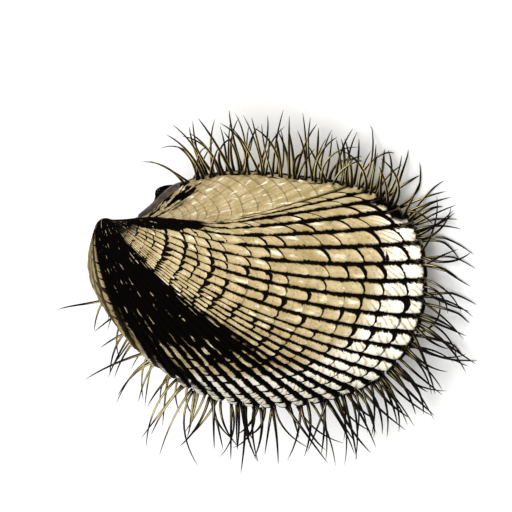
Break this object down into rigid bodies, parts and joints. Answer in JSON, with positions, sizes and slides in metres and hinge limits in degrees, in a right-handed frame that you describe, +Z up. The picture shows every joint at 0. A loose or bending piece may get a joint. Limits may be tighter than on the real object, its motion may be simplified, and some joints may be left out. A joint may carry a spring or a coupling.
{
  "type": "cockle shell",
  "caption": "Closed cockle shell lying on one valve, with radial ribs, a horny ligament at the hinge and a fringe of stiff bristles round the margin.",
  "frame": {"origin": "middle of the footprint, on the surface that the shell lies on", "axes": "+Z up; +X towards the hind end of the shell, which lies lower than the front; +Y towards the hinge side"},
  "size_m": [0.0744, 0.0664, 0.038],
  "materials": {
    "shell_wall": "satin, chalky calcium carbonate with cream-tan ribs and dark brown furrows",
    "ligament_horn": "dark brown dried horn, fibrous, low sheen",
    "bristle_horn": "straw-yellow horn bristles with dark brown tips"
  },
  "bodies": {
    "root": {"left_valve": "shell_wall", "right_valve": "shell_wall", "ligament": "ligament_horn", "left_bristle_fringe": "bristle_horn", "right_bristle_fringe": "bristle_horn"}
  },
  "joints": []
}
